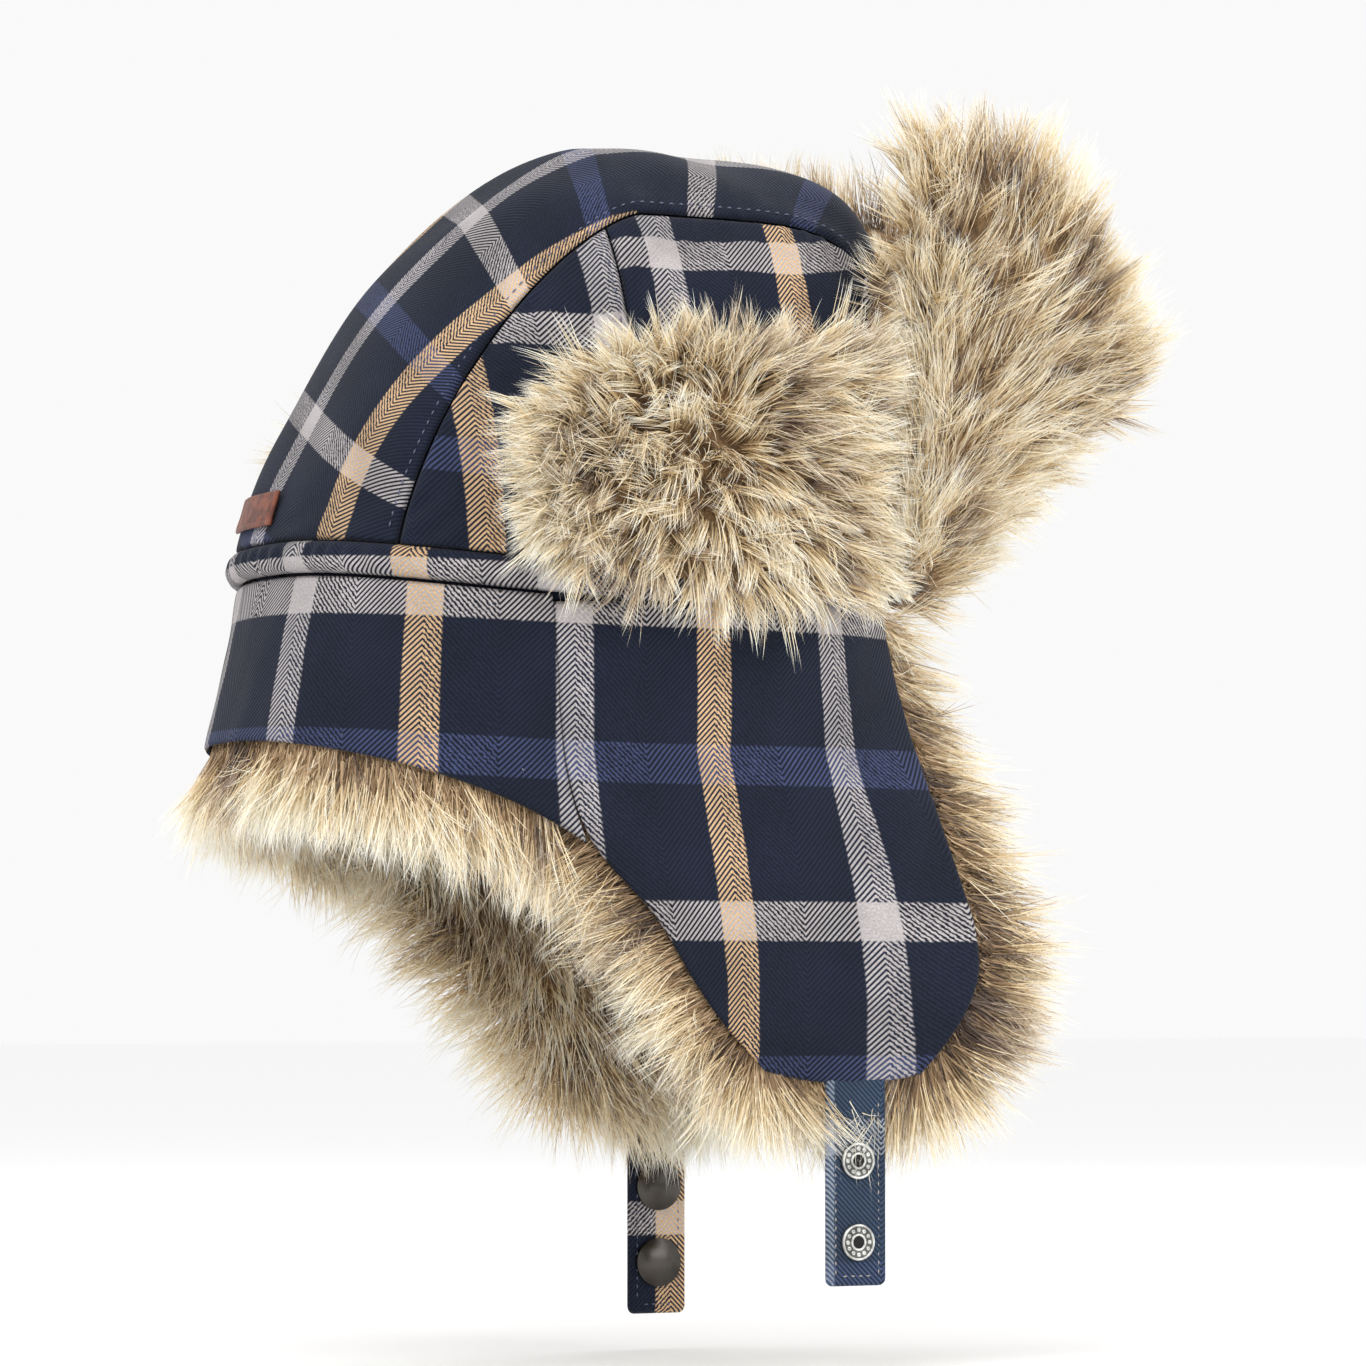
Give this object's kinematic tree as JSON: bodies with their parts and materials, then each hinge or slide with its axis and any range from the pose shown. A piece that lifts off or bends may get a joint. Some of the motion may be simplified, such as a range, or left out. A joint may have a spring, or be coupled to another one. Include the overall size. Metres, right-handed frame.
{
  "type": "trapper hat",
  "caption": "Plaid trapper hat with a fur-lined neck curtain, folding ear flaps, snap chin straps and a turned-up fur visor.",
  "frame": {"origin": "middle of the head opening, level with the brow", "axes": "front of the hat -Y, wearer's left +X, crown +Z"},
  "size_m": [0.205, 0.3222, 0.3859],
  "materials": {
    "plaid_flannel": "brushed herringbone cotton, navy with grey, tan and blue bars",
    "faux_fur": "long-pile faux fur, brown roots and cream tips",
    "wadding": "white polyester wadding",
    "quilted_lining": "dark satin lining",
    "interlining": "stiff non-woven",
    "elastic": "woven elastic tape",
    "twill_band": "navy cotton twill",
    "label_tape": "blank white satin tape",
    "brown_leather": "smooth tan-brown leather with a stitched edge",
    "black_nickel": "polished black nickel",
    "silver_nickel": "nickel plate"
  },
  "bodies": {
    "crown": {"brow_band": "plaid_flannel", "care_label": "label_tape", "crown_front_side_left": "plaid_flannel", "crown_front_side_right": "plaid_flannel", "crown_rear_side_left": "plaid_flannel", "crown_rear_side_right": "plaid_flannel", "crown_side_lining_left": "quilted_lining", "crown_side_lining_right": "quilted_lining", "crown_side_wadding_left": "wadding", "crown_side_wadding_right": "wadding", "crown_top_lining": "quilted_lining", "crown_top_strip": "plaid_flannel", "crown_top_wadding": "wadding", "elastic_casing": "plaid_flannel", "elastic_tape": "elastic", "leather_label": "brown_leather", "neck_curtain_fur": "faux_fur", "neck_curtain_shell": "plaid_flannel", "neck_curtain_wadding": "wadding", "sweatband": "twill_band", "visor_wing_fur_left": "faux_fur", "visor_wing_fur_right": "faux_fur", "visor_wing_interlining_left": "interlining", "visor_wing_interlining_right": "interlining", "visor_wing_shell_left": "plaid_flannel", "visor_wing_shell_right": "plaid_flannel"},
    "visor": {"visor_fur": "faux_fur", "visor_interlining": "interlining", "visor_shell": "plaid_flannel"},
    "right_flap": {"right_ear_flap_fur": "faux_fur", "right_ear_flap_shell": "plaid_flannel", "right_ear_flap_wadding": "wadding"},
    "left_flap": {"left_ear_flap_fur": "faux_fur", "left_ear_flap_shell": "plaid_flannel", "left_ear_flap_wadding": "wadding"},
    "right_strap": {"right_strap": "plaid_flannel", "right_strap_ring_posts": "silver_nickel", "right_strap_studs": "silver_nickel"},
    "left_strap": {"left_strap": "plaid_flannel", "left_strap_caps": "black_nickel", "left_strap_sockets": "silver_nickel"}
  },
  "joints": [
    {"name": "visor_fold", "type": "hinge", "parent": "crown", "child": "visor", "pos_m": [0, -0.1115, -0.004], "axis": [1, 0, 0], "range_deg": [-5, 60]},
    {"name": "right_flap_fold", "type": "hinge", "parent": "crown", "child": "right_flap", "pos_m": [-0.0925, -0.022, -0.013], "axis": [-0.1716, 0.9852, 0], "range_deg": [-2, 130]},
    {"name": "left_flap_fold", "type": "hinge", "parent": "crown", "child": "left_flap", "pos_m": [0.0925, -0.022, -0.013], "axis": [-0.1716, -0.9852, 0], "range_deg": [-2, 130]},
    {"name": "right_strap_swing", "type": "hinge", "parent": "right_flap", "child": "right_strap", "pos_m": [-0.071, -0.071, -0.1675], "axis": [0, 1, 0], "range_deg": [-60, 75]},
    {"name": "left_strap_swing", "type": "hinge", "parent": "left_flap", "child": "left_strap", "pos_m": [0.071, -0.071, -0.1675], "axis": [0, -1, 0], "range_deg": [-60, 75]}
  ]
}
